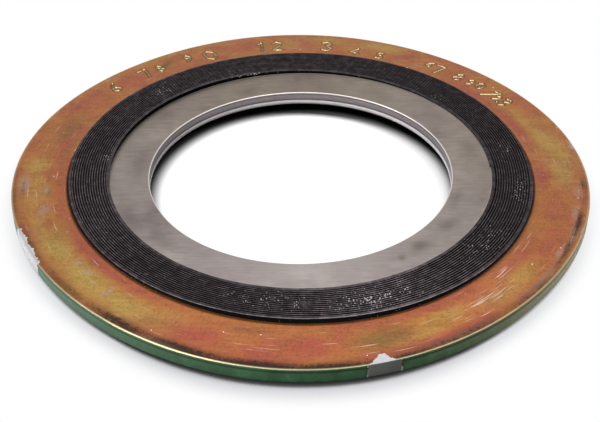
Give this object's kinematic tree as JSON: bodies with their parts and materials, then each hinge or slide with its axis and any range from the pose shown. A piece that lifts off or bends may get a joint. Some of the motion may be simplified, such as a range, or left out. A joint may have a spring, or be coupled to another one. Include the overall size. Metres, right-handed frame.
{
  "type": "spiral wound gasket",
  "caption": "Flat ring gasket for a raised-face pipe flange: a spiral wound sealing roll held between an outer centring ring and an inner ring.",
  "frame": {"origin": "on the gasket's axis, at the lower face of the winding, the lowest point of the part", "axes": "+Z along the axis, out of the upper face; X and Y lie in the plane of the rings"},
  "size_m": [0.1048, 0.1048, 0.0045],
  "materials": {
    "outer_ring": "satin",
    "winding": "matte",
    "inner_ring": "satin"
  },
  "bodies": {
    "root": {"outer_ring": "outer_ring", "winding": "winding", "inner_ring": "inner_ring"}
  },
  "joints": []
}
